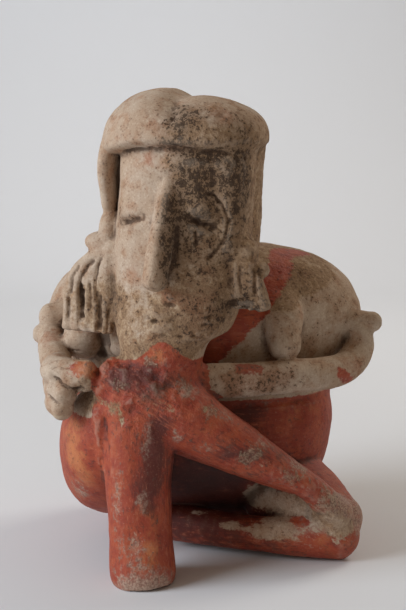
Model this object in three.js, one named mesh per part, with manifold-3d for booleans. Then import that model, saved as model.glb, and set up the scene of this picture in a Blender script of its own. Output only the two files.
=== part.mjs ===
// A seated woman in fired clay, modelled by hand in one piece: she leans her long head on her raised
// knee, holds that knee with one hand, and lays the other arm across her lap.
// Millimetres. +Z is up, she faces -Y, and x grows to the viewer's right, so her right side is at -X.
import * as THREE from 'three';
import { mergeVertices } from 'three/addons/utils/BufferGeometryUtils.js';
import Module from 'manifold-3d';

// Driving dimensions
const seatHeight = 68; // floor to the skirt's upper edge
const hipWidth = 129; // the skirt, side to side
const seatDepth = 94; // the skirt, front to back
const backTop = 139; // floor to the top of the rounded shoulders
const backWidth = 149; // the torso at its widest
const torsoDepth = 94;
const headHeight = 110; // chin to crown
const faceWidth = 53;
const headDepth = 55;
const headTurn = 16; // degrees, towards her right
const headLean = 2; // degrees, crown towards her left
const legThickness = 28; // the raised shin
const kneeHeight = 96; // floor to the top of the raised knee
const armThickness = 15;
const fingerThickness = 10;
const strandThickness = 6.6; // one strand of an ear ornament
const eyeWidth = 11;
const slitDepth = 3.5; // how deep the tool was pressed for the eyes and the mouth

const wasm = await Module();
wasm.setup();

const radians = THREE.MathUtils.degToRad;

// A value from -1 to 1, eased so that a circle of power 2 becomes squarer as the power rises.
function squared(value, power) {
  return Math.sign(value) * Math.abs(value) ** (2 / power);
}

// A closed roll of clay along a smooth path. Each stop on the path is [x, y, z, half width, half depth],
// and its width lies along `across`. A tip rounds an end off that far beyond its stop, and 0 cuts it flat.
// `upright` keeps every section level, as in a stack of coils.
function roll({
  stops, across, power = 2, sides = 12, rings = 8, startTip = 0, endTip = 0, tipRings = 3, upright = false,
}) {
  const path = new THREE.CatmullRomCurve3(stops.map(([x, y, z]) => new THREE.Vector3(x, y, z)));
  const sizes = new THREE.CatmullRomCurve3(stops.map((stop) => new THREE.Vector3(stop[3], stop[4], 0)));
  for (const curve of [path, sizes]) curve.curveType = 'catmullrom';
  const widthWay = new THREE.Vector3(...across);
  const direction = (u) => (upright ? new THREE.Vector3(0, 0, 1) : path.getTangent(u));
  const sections = [];
  const addSection = (u, beyond, scale) => {
    const tangent = direction(u);
    const centre = path.getPoint(u).addScaledVector(tangent, beyond);
    const size = sizes.getPoint(u).multiplyScalar(scale);
    sections.push({ centre, tangent, wide: size.x, deep: size.y });
  };
  const quarter = Math.PI / 2;
  for (let i = 1; i < tipRings && startTip; i++) {
    addSection(0, -startTip * Math.cos((quarter * i) / tipRings), Math.sin((quarter * i) / tipRings));
  }
  for (let i = 0; i <= rings; i++) addSection(i / rings, 0, 1);
  for (let i = tipRings - 1; i > 0 && endTip; i--) {
    addSection(1, endTip * Math.cos((quarter * i) / tipRings), Math.sin((quarter * i) / tipRings));
  }

  const points = [];
  for (const { centre, tangent, wide, deep } of sections) {
    const a = widthWay.clone().addScaledVector(tangent, -widthWay.dot(tangent)).normalize();
    const b = new THREE.Vector3().crossVectors(tangent, a);
    for (let i = 0; i < sides; i++) {
      const angle = (2 * Math.PI * i) / sides;
      const [c, s] = [squared(Math.cos(angle), power), squared(Math.sin(angle), power)];
      points.push(centre.clone().addScaledVector(a, wide * c).addScaledVector(b, deep * s));
    }
  }
  const first = points.push(path.getPoint(0).addScaledVector(direction(0), -startTip)) - 1;
  const last = points.push(path.getPoint(1).addScaledVector(direction(1), endTip)) - 1;

  const index = [];
  const lastRing = (sections.length - 1) * sides;
  for (let i = 0; i < sides; i++) {
    const next = (i + 1) % sides;
    index.push(first, next, i);
    index.push(last, lastRing + i, lastRing + next);
    for (let ring = 0; ring < lastRing; ring += sides) {
      index.push(ring + i, ring + next, ring + sides + next);
      index.push(ring + i, ring + sides + next, ring + sides + i);
    }
  }
  return new THREE.BufferGeometry().setFromPoints(points).setIndex(index);
}

// A stack of level rounded-square sections around [x, y] centres, as a coil-built body is.
function stack(levels, options) {
  const stops = levels.map(({ z, x, y, width, depth }) => [x, y, z, width / 2, depth / 2]);
  return roll({ stops, across: [1, 0, 0], upright: true, ...options });
}

// Moves every point of a geometry with a function that changes it in place.
function press(geometry, change) {
  const position = geometry.getAttribute('position');
  const point = new THREE.Vector3();
  for (let i = 0; i < position.count; i++) {
    change(point.fromBufferAttribute(position, i));
    position.setXYZ(i, point.x, point.y, point.z);
  }
  return geometry;
}

// An egg of clay with the given half-sizes, squarer as its power rises.
function egg([x, y, z], [wide, deep, high], segments = 12, power = 2) {
  const ball = new THREE.SphereGeometry(1, segments, Math.round(segments * 0.7)).rotateX(radians(90));
  press(ball, (point) => point.fromArray(point.toArray().map((value) => squared(value, power))));
  return ball.scale(wide, deep, high).translate(x, y, z);
}

// The skirt and what it covers: broad at the hips, rounded under, and flat where she sits.
function skirt() {
  const level = (z, width, depth, x, y) => ({
    z: z * seatHeight, width: width * hipWidth, depth: depth * seatDepth, x, y,
  });
  return stack(
    [
      level(0, 0.48, 0.43, -8, 41),
      level(0.11, 0.6, 0.62, -7, 35),
      level(0.22, 0.73, 0.8, -5, 28),
      level(0.36, 0.86, 0.93, -4, 22),
      level(0.55, 0.96, 1, -3, 18),
      level(0.8, 1, 1, -2, 17),
      level(1, 0.96, 0.93, -0.5, 17),
    ],
    { power: 2.4, sides: 24, rings: 9, endTip: 2.5 },
  );
}

// The torso swells from the waist to high rounded shoulders, and its top leans to the front.
function torso() {
  const rise = backTop - seatHeight;
  const level = (t, width, depth, y) => ({
    z: seatHeight + t * rise, width: width * backWidth, depth: depth * torsoDepth, x: 1, y,
  });
  return stack(
    [
      level(-0.1, 0.8, 0.88, 16),
      level(0.1, 0.83, 0.9, 16),
      level(0.33, 0.92, 0.96, 17),
      level(0.53, 1, 1, 18),
      level(0.68, 0.965, 0.97, 19),
      level(0.81, 0.87, 0.88, 18),
      level(0.92, 0.7, 0.72, 16),
      level(0.985, 0.45, 0.48, 14),
    ],
    { power: 2.15, sides: 24, rings: 9, endTip: 1.5 },
  );
}

function breast(x) {
  const outward = Math.sign(x);
  return roll({
    stops: [
      [x - 2 * outward, -12, 121, 9, 5],
      [x, -21.5, 110, 10, 8.5],
      [x + 1.5 * outward, -29, 97, 7, 7.5],
    ],
    across: [1, 0, 0], rings: 4, sides: 12, startTip: 5, endTip: 6,
  });
}

// Her right leg is drawn up: the skirt drapes from the knee over a broad thigh, and the shin stands
// like a post.
const knee = { x: -26.5, y: -55, z: kneeHeight - 15 };

function raisedThigh() {
  return roll({
    stops: [
      [-31, 17, 37, 25, 25],
      [-39.5, -13, 46, 26, 30],
      [-37.5, -37, 60, 23.5, 25],
      [knee.x - 2, knee.y + 3, knee.z - 3, 18.5, 16],
    ],
    across: [1, 0, 0], power: 2.3, sides: 16, rings: 7, startTip: 8, endTip: 4,
  });
}

function raisedShin() {
  const half = legThickness / 2;
  return roll({
    stops: [
      [knee.x + 1, knee.y, knee.z - 1, half + 4.5, half + 0.8],
      [-27.3, -57, 62, half + 2, half + 0.4],
      [-28, -59, 44, half + 0.3, half],
      [-27, -60.5, 24, half - 0.3, half],
      [-25.8, -62, 6, half + 0.3, half],
      [-25.4, -62.5, 0, half - 1.2, half - 0.5],
    ],
    across: [1, 0, 0], power: 2.2, sides: 16, rings: 10, startTip: 14.5,
  });
}

// The skirt is stretched from knee to knee. Its hem is a tapering ridge over a deep hollow, the lap joins
// the ridge to the body, and a web closes the hollow towards the folded knee.
function hem() {
  const ridge = roll({
    stops: [
      [-41.5, -55, 88, 9.5, 9.5],
      [-26, -56, 82.5, 13.5, 13.5],
      [-9, -56.5, 72.5, 13, 14.5],
      [15.8, -52, 56.5, 11, 10.5],
      [42.5, -45, 40, 9, 6],
      [61, -37, 22, 8, 7],
    ],
    across: [0, 1, 0], power: 2.2, sides: 12, rings: 7, startTip: 4, endTip: 4,
  });
  const lap = roll({
    stops: [[-24, -38, 66, 16, 10], [6, -36, 53, 18, 8], [38, -28, 38, 18, 6]],
    across: [0, 1, 0], power: 2.2, sides: 10, rings: 3, startTip: 4, endTip: 4,
  });
  const web = roll({
    stops: [[61, -34, 18, 7, 9], [45, -28, 23, 6, 12], [27, -15, 26, 6, 14]],
    across: [0, 1, 0], sides: 10, rings: 3, startTip: 3, endTip: 8,
  });
  return [ridge, lap, web];
}

// Her left leg is folded on the ground, with the knee out to the side.
function foldedThigh() {
  return roll({
    stops: [[20, 12, 32, 22, 24], [43, -9, 24.5, 18.5, 18.5], [60.5, -30, 15.4, 13.5, 13.5]],
    across: [1, 0.6, 0], power: 2.2, sides: 16, rings: 6, startTip: 8, endTip: 10,
  });
}

function foldedShin() {
  return roll({
    stops: [
      [60, -32.5, 12.3, 10.5, 12.3],
      [44, -33, 10.5, 8, 9],
      [14, -26, 10.8, 7.5, 8],
      [-14, -16, 12.5, 8, 9],
    ],
    across: [0, 1, 0], power: 2.2, sides: 12, rings: 6, startTip: 11, endTip: 5,
  });
}

// Each shoulder runs out to a pointed knob, and the forearm doubles back from under it.
function shoulder({ inner, tip }) {
  const half = armThickness / 2;
  const middle = inner.map((value, i) => 0.4 * value + 0.6 * tip[i]);
  return roll({
    stops: [[...inner, half, half], [...middle, half - 0.3, half - 0.8], [...tip, half - 2.6, half - 3]],
    across: [0, 0, 1], sides: 10, rings: 4, startTip: 4, endTip: 5,
  });
}

function leftForearm() {
  const half = armThickness / 2;
  return roll({
    stops: [
      [73, -3, 101, half - 1.5, half - 1.5],
      [71.8, -6, 91, half - 0.5, half - 0.8],
      [63, -16, 84, half, half],
      [45, -29.5, 84, half, half],
      [24, -39, 84.3, half, half],
      [4, -46, 84.5, half - 1, half + 0.5],
      [-8, -50, 84.5, half - 2.5, half],
    ],
    across: [0.55, -0.83, 0], sides: 12, rings: 9, startTip: 3, endTip: 3,
  });
}

// Her right shoulder swells over the knob, and the upper arm hangs close to her side, behind the forearm.
function rightUpperArm() {
  const swelling = roll({
    stops: [[-50, 2, 108, 8.5, 8], [-62, 0, 107, 7.8, 7.5], [-70.3, -2.5, 106.2, 6.7, 6.4]],
    across: [0, 0, 1], sides: 12, rings: 3, startTip: 4, endTip: 6,
  });
  const hanging = roll({
    stops: [[-49, 2, 121, 10, 9], [-53.5, -9, 108, 9.5, 9.5], [-55, -17, 96, 9, 9]],
    across: [1, 0.2, 0], sides: 12, rings: 4, startTip: 4, endTip: 6,
  });
  return [swelling, hanging];
}

function rightForearm() {
  const half = armThickness / 2;
  return roll({
    stops: [
      [-70.5, -3, 99, half - 1, half - 1],
      [-68.5, -15, 93, half - 0.5, half - 0.5],
      [-65, -30, 88.5, half - 0.5, half],
      [-62, -46, 84, half - 0.5, half + 3],
    ],
    across: [1, 0.2, 0], sides: 12, rings: 6, startTip: 3, endTip: 6,
  });
}

// The closed hand grips the outside of the raised knee. Three thick fingers show on it, and the uppermost
// is the stoutest and reaches furthest.
function rightHand() {
  const palm = roll({
    stops: [[-59.5, -51, 91.5, 7, 9], [-61, -53.5, 83, 5.8, 9.5], [-61.3, -53.5, 77.2, 5.4, 9]],
    across: [1, 0, 0], sides: 10, rings: 3, startTip: 5, endTip: 5,
  });
  const finger = ({ z, half, reach }) => {
    const size = half * fingerThickness;
    return roll({
      stops: [
        [-62.3, -42, z, size, size],
        [-62.5, -54, z, size, size],
        [-62.5 + reach, -60.5, z - 1, size, size - 0.5],
      ],
      across: [0, 0, 1], sides: 10, rings: 4, startTip: 3, endTip: 4,
    });
  };
  return [
    palm,
    finger({ z: 91, half: 0.66, reach: 13.5 }),
    finger({ z: 83, half: 0.58, reach: 4 }),
    finger({ z: 77.2, half: 0.55, reach: 3 }),
  ];
}

// The neck runs forward from the shoulders to the back of the head.
function neck() {
  return roll({
    stops: [[-8, -22, 127, 21, 16], [-3, -4, 122, 25, 17], [0, 14, 114, 28, 20]],
    across: [1, 0, 0], sides: 12, rings: 3, startTip: 4, endTip: 4,
  });
}

// The head is drawn upright around its own axis, x to the side, y to the back and z up from the chin.
// It is then turned and leant about a pivot between the eyes and the mouth, which sits at headCentre.
const headCentre = { x: -9.1, y: -41, z: 150 };
const pivotHeight = 50;

function setHead(geometry) {
  const place = new THREE.Matrix4().makeTranslation(headCentre.x, headCentre.y, headCentre.z);
  place.multiply(new THREE.Matrix4().makeRotationZ(radians(-headTurn)));
  place.multiply(new THREE.Matrix4().makeRotationY(radians(headLean)));
  place.multiply(new THREE.Matrix4().makeTranslation(0, 0, -pivotHeight));
  return geometry.applyMatrix4(place);
}

// A long flat face. The jaw narrows to a chin that rests on the knee.
function skull() {
  const level = (t, width, depth, x, y) => ({
    z: t * headHeight, width: width * faceWidth, depth: depth * headDepth, x, y,
  });
  return stack(
    [
      level(-0.15, 0.56, 0.52, -3.5, -12),
      level(0.02, 0.7, 0.66, -4, -9.5),
      level(0.08, 0.91, 0.82, -1.2, -5),
      level(0.17, 1, 0.93, -0.3, -1.5),
      level(0.34, 1.02, 0.99, 0, 0),
      level(0.55, 1, 1, 0, 0),
      level(0.88, 0.96, 0.93, 0, 1.5),
    ],
    { power: 2.5, sides: 18, rings: 9, startTip: 3, endTip: 4 },
  );
}

// A long blade of a nose from the middle of the forehead.
function nose() {
  return roll({
    stops: [
      [1.8, -24.5, 71, 4.2, 3.5],
      [1.2, -28, 60, 4.8, 5.5],
      [0.2, -32, 44, 5.4, 6.5],
      [-1, -34.3, 31.5, 5.4, 6.5],
    ],
    across: [1, 0, 0], power: 1.65, sides: 12, rings: 5, startTip: 2.5, endTip: 3.5,
  });
}

// The hair is a thick cap in two lobes, with a flat underside that overhangs the forehead.
function cap() {
  const middle = [0.8, -0.5, 90];
  const halfSizes = [35, 32, 21];
  const slump = 3; // the lobe on her left is that much lower
  const parting = { x: 1, depth: 1.6, width: 5 };
  const flattening = 0.28; // what is left of the egg's lower half
  const droop = 4; // the rim hangs that much lower by her right temple
  return press(egg(middle, halfSizes, 20, 2.3), (point) => {
    const height = point.z - middle[2];
    const sag = droop * (1 - THREE.MathUtils.smoothstep(point.x, -30, -8));
    if (height < 0) {
      point.z = middle[2] + height * flattening - sag;
      return;
    }
    point.z -= sag * (1 - height / halfSizes[2]);
    const valley = Math.exp(-(((point.x - parting.x) / parting.width) ** 2));
    const lowered = slump * THREE.MathUtils.smoothstep(point.x, -9, 6) + parting.depth * valley;
    point.z -= (lowered * height) / halfSizes[2];
  });
}

// It hangs down the back, and in a flap at each side of the face. The flap by her right cheek stands free
// of it.
function hangingHair() {
  const back = stack(
    [
      { z: 20, x: 0, y: 13, width: 48, depth: 28 },
      { z: 42, x: -0.5, y: 12, width: 63, depth: 38 },
      { z: 70, x: -1.3, y: 11, width: 65.5, depth: 43 },
      { z: 90, x: 0, y: 9, width: 66, depth: 46 },
    ],
    { power: 2.4, sides: 16, rings: 3, startTip: 8, endTip: 2, tipRings: 2 },
  );
  const flap = (stops, endTip) =>
    roll({ stops, across: [1, 0, 0], power: 2.4, sides: 8, rings: 3, endTip, tipRings: 3 });
  return [
    back,
    flap([[-28.4, -4, 93, 3.9, 10], [-31.7, -5, 77, 4.1, 10.5], [-31, -4, 61, 3.5, 8.5]], 6),
    flap([[23.5, -5.5, 92, 9.5, 16], [22.3, -5, 74, 9, 16], [22.3, -4.5, 46, 8.5, 15]], 7),
  ];
}

// Each ear has rounded lobes, and carries a bundle of thick strands that fan out and hang beside the jaw.
function earBundle({ side, count, spread, bottom, lobes }) {
  const half = strandThickness / 2;
  const strands = Array.from({ length: count }, (_, i) =>
    roll({
      stops: [
        [side * 27, -12, 43, half - 0.5, half - 0.3],
        [side * (28.5 + 0.5 * spread * i), -12 + 0.5 * i, 37.5 - 0.3 * i, half, half],
        [side * (29.5 + 0.88 * spread * i), -11.5 + 0.7 * i, 26, half, half],
        [side * (29.5 + spread * i), -11 + 0.8 * i, bottom, half, half],
      ],
      across: [1, 0, 0], sides: 8, rings: 5, startTip: 2, endTip: 1, tipRings: 2,
    }));
  return [...strands, ...lobes.map(({ out, z, half: size }) => egg([side * out, -7, z], size, 9))];
}

// Slits for the eyes and a small round mouth, pressed in with a tool. The figures with each are its place
// on the face, its half width, how far it turns to the side, and how far it tilts.
function pressedMarks() {
  const faceFront = -26;
  const slit = ({ x, z, half, turn, tilt }) =>
    egg([0, 0, 0], [half, slitDepth, 1.6], 8)
      .rotateY(radians(tilt))
      .rotateZ(radians(turn))
      .translate(x, faceFront, z);
  return [
    slit({ x: -14.1, z: 56, half: 0.47 * eyeWidth, turn: -16, tilt: -10 }),
    slit({ x: 16.8, z: 55, half: 0.53 * eyeWidth, turn: 16, tilt: 6 }),
    egg([-3.2, faceFront, 14.6], [2.6, slitDepth, 1.6], 8),
  ];
}

// One lump as a closed solid, its shared corners joined.
function solid(geometry) {
  const bare = geometry.clone();
  bare.deleteAttribute('normal');
  bare.deleteAttribute('uv');
  const merged = mergeVertices(bare, 1e-4);
  return new wasm.Manifold(new wasm.Mesh({
    numProp: 3,
    vertProperties: merged.getAttribute('position').array,
    triVerts: new Uint32Array(merged.index.array),
  }));
}

const headPieces = [
  skull(), nose(), cap(), ...hangingHair(),
  ...earBundle({
    side: -1, count: 5, spread: 4.7, bottom: 5,
    lobes: [{ out: 33, z: 43.5, half: [8.5, 7, 5] }, { out: 30, z: 50, half: [5, 7, 9] }],
  }),
  ...earBundle({
    side: 1, count: 3, spread: 5, bottom: 20.5,
    lobes: [{ out: 30.5, z: 43, half: [5.5, 8, 6.5] }, { out: 37.5, z: 36, half: [3.8, 4.5, 3.6] }],
  }),
];
const bodyPieces = [
  skirt(), torso(), breast(35), breast(-33), neck(),
  raisedThigh(), raisedShin(), ...hem(), foldedThigh(), foldedShin(),
  shoulder({ inner: [56, 2, 101], tip: [78.3, -3, 104] }), leftForearm(),
  shoulder({ inner: [-54, 2, 99.5], tip: [-74.2, -3.5, 98.4] }), ...rightUpperArm(), rightForearm(),
  ...rightHand(),
];

// The lumps are joined into one body, the marks are pressed in, and all that is below the floor is cut off.
const floorSize = 400;
const floorDepth = 100;
const floor = new THREE.BoxGeometry(floorSize, floorSize, floorDepth).translate(0, 0, -floorDepth / 2);
let clay = bodyPieces.concat(headPieces.map(setHead)).map(solid).reduce((sum, piece) => sum.add(piece));
for (const mark of pressedMarks()) clay = clay.subtract(solid(setHead(mark)));
clay = clay.subtract(solid(floor));

const { vertProperties, triVerts } = clay.getMesh();
const geometry = new THREE.BufferGeometry();
geometry.setAttribute('position', new THREE.BufferAttribute(vertProperties, 3));
geometry.setIndex(new THREE.BufferAttribute(triVerts, 1));

// The origin is on the floor, under the middle of the figure's box.
geometry.computeBoundingBox();
const middle = geometry.boundingBox.getCenter(new THREE.Vector3());
geometry.translate(-middle.x, -middle.y, -geometry.boundingBox.min.z);
geometry.computeVertexNormals();

const terracotta = new THREE.MeshStandardMaterial({ color: 0xb98d74, roughness: 0.9, metalness: 0 });
const figure = new THREE.Mesh(geometry, terracotta);
figure.name = 'seated_figure';

const group = new THREE.Group();
group.add(figure);

export default group;
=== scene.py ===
# A seated woman in terracotta, modelled by hand. The form is drawn in millimetres as rolls and lumps of clay,
# fused, softened where lumps meet, and carved; then it is finished as fired clay with a worn red slip.
import math
import bpy
import numpy as np
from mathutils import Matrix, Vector


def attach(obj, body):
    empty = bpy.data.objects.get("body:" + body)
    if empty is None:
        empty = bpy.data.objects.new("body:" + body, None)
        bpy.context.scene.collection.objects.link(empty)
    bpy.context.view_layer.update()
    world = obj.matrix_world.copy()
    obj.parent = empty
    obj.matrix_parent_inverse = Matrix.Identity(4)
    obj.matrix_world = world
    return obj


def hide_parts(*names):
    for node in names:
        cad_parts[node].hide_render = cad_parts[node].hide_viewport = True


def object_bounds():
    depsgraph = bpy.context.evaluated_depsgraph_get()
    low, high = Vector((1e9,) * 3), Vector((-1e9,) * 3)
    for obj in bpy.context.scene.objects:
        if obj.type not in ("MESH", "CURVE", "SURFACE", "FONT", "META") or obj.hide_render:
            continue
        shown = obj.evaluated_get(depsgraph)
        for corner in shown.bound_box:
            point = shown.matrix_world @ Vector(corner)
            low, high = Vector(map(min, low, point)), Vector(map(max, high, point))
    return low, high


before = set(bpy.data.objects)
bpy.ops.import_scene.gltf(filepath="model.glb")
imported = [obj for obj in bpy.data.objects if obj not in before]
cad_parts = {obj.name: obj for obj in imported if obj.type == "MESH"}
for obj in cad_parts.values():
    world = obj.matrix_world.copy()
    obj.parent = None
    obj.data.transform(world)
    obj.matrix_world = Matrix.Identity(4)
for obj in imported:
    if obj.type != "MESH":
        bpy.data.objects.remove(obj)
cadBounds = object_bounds()
print("frame loaded:", sorted(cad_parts))

# Sizes in mm, drawn about a point on the floor under the waist. +Z is up and she faces -Y.
figure = {
    "drawnMiddle": (2.0598, -6.9451, 0.0),  # the middle of her box, which the frame puts over the origin
    "seatHeight": 68.0,
    "hipWidth": 129.0,
    "seatDepth": 94.0,
    "backTop": 139.0,
    "backWidth": 149.0,
    "torsoDepth": 94.0,
    "headHeight": 110.0,
    "faceWidth": 53.0,
    "headDepth": 55.0,
    "headTurn": 16.0,  # degrees, towards her right
    "headLean": 2.0,
    "headCentre": (-9.1, -41.0, 150.0),
    "headPivot": 50.0,  # height of the pivot above the chin
    "legThickness": 28.0,
    "kneeHeight": 96.0,
    "armThickness": 15.0,
    "fingerThickness": 10.0,
    "strandThickness": 6.6,
}
# The hem is stretched from knee to knee: places on its ridge in mm, and the ridge's half sizes there.
hemRidge = [(-41.5, -55, 88), (-26, -56, 82.5), (-9, -56.5, 72.5), (15.8, -52, 56.5), (42.5, -45, 40),
            (61, -37, 22)]
hemSizes = [(9.5, 9.5), (13.5, 13.5), (13, 14.5), (11, 10.5), (9, 6), (8, 7)]


def squared(value, power):
    # keeps the sign and raises the size to 2 / power, so a circle becomes a rounded square
    return np.sign(value) * np.abs(value) ** (2.0 / power)


def splineAt(stops, u):
    # Catmull-Rom: on each span a cubic that leaves and arrives with half the difference of its neighbours
    p = np.vstack([2 * stops[0] - stops[1], stops, 2 * stops[-1] - stops[-2]])
    s = u * (len(stops) - 1)
    i = np.clip(np.floor(s).astype(int), 0, len(stops) - 2)
    t = (s - i)[:, None]
    before, start, end, after = p[i], p[i + 1], p[i + 2], p[i + 3]
    leave, arrive = (end - before) / 2, (after - start) / 2
    square, cube = 3 * (end - start) - 2 * leave - arrive, 2 * (start - end) + leave + arrive
    return start + leave * t + square * t**2 + cube * t**3


def gridFaces(rows, columns):
    # two triangles for every cell between neighbouring rows, closed round the columns, and a fan at each pole
    i, j = np.meshgrid(np.arange(rows - 1), np.arange(columns), indexing="ij")
    a, b = i * columns + j, i * columns + (j + 1) % columns
    c, d = b + columns, a + columns
    sides = np.concatenate([np.stack([a, b, c], -1).reshape(-1, 3), np.stack([a, c, d], -1).reshape(-1, 3)])
    j = np.arange(columns)
    first, last, top = rows * columns, rows * columns + 1, (rows - 1) * columns
    fans = [np.stack([np.full(columns, first), (j + 1) % columns, j], -1),
            np.stack([np.full(columns, last), top + j, top + (j + 1) % columns], -1)]
    return np.concatenate([sides, *fans])


def roll(stops, across, power=2.0, startTip=0.0, endTip=0.0, upright=False, sides=40, rings=30):
    # a roll of clay: at u along a smooth path, the section point at angle v is
    # centre(u) + a * wide(u) * squared(cos v) + b * deep(u) * squared(sin v),
    # and each end that has a tip closes in a quarter ellipse of that length
    stops = np.array(stops, float)
    tipRings = 9
    quarter = np.linspace(0, math.pi / 2, tipRings)
    startPart = quarter[1:-1] if startTip else quarter[:0]
    endPart = quarter[-2:0:-1] if endTip else quarter[:0]
    u = np.concatenate([np.zeros(len(startPart)), np.linspace(0, 1, rings), np.ones(len(endPart))])
    beyond = np.concatenate([-startTip * np.cos(startPart), np.zeros(rings), endTip * np.cos(endPart)])
    scale = np.concatenate([np.sin(startPart), np.ones(rings), np.sin(endPart)])
    line = splineAt(stops, u)
    step = 1e-4
    tangent = splineAt(stops[:, :3], u + step) - splineAt(stops[:, :3], u - step)
    if upright:
        tangent = np.tile([0.0, 0.0, 1.0], (len(u), 1))
    tangent /= np.linalg.norm(tangent, axis=1, keepdims=True)
    a = np.array(across, float) - (tangent @ np.array(across, float))[:, None] * tangent
    a /= np.linalg.norm(a, axis=1, keepdims=True)
    b = np.cross(tangent, a)
    v = np.linspace(0, 2 * math.pi, sides, endpoint=False)
    centre = line[:, :3] + tangent * beyond[:, None]
    wide, deep = line[:, 3] * scale, line[:, 4] * scale
    points = (centre[:, None] + a[:, None] * (wide[:, None] * squared(np.cos(v), power))[..., None]
              + b[:, None] * (deep[:, None] * squared(np.sin(v), power))[..., None])
    poles = [line[0, :3] - tangent[0] * startTip, line[-1, :3] + tangent[-1] * endTip]
    return np.vstack([points.reshape(-1, 3), poles]), gridFaces(len(u), sides)


def egg(centre, halfSizes, power=2.0, sides=40):
    # an ellipsoid whose unit directions are squared before they are scaled
    rows = sides // 2
    around = np.linspace(0, 2 * math.pi, sides, endpoint=False)
    lat, lon = np.meshgrid(np.linspace(0, math.pi, rows + 2)[1:-1], around, indexing="ij")
    ball = np.stack([np.sin(lat) * np.cos(lon), np.sin(lat) * np.sin(lon), -np.cos(lat)], -1).reshape(-1, 3)
    ball = np.vstack([ball, [0, 0, -1], [0, 0, 1]])
    return squared(ball, power) * halfSizes + centre, gridFaces(rows, sides)


def stack(levels, **options):
    # level rounded-square sections, given as (z, x, y, width, depth)
    stops = [[x, y, z, width / 2, depth / 2] for z, x, y, width, depth in levels]
    return roll(stops, (1, 0, 0), upright=True, **options)


def smoothStep(value, low, high):
    # 0 below the low end, 1 above the high end, and three t squared less two t cubed between
    t = np.clip((value - low) / (high - low), 0, 1)
    return t * t * (3 - 2 * t)


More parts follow.
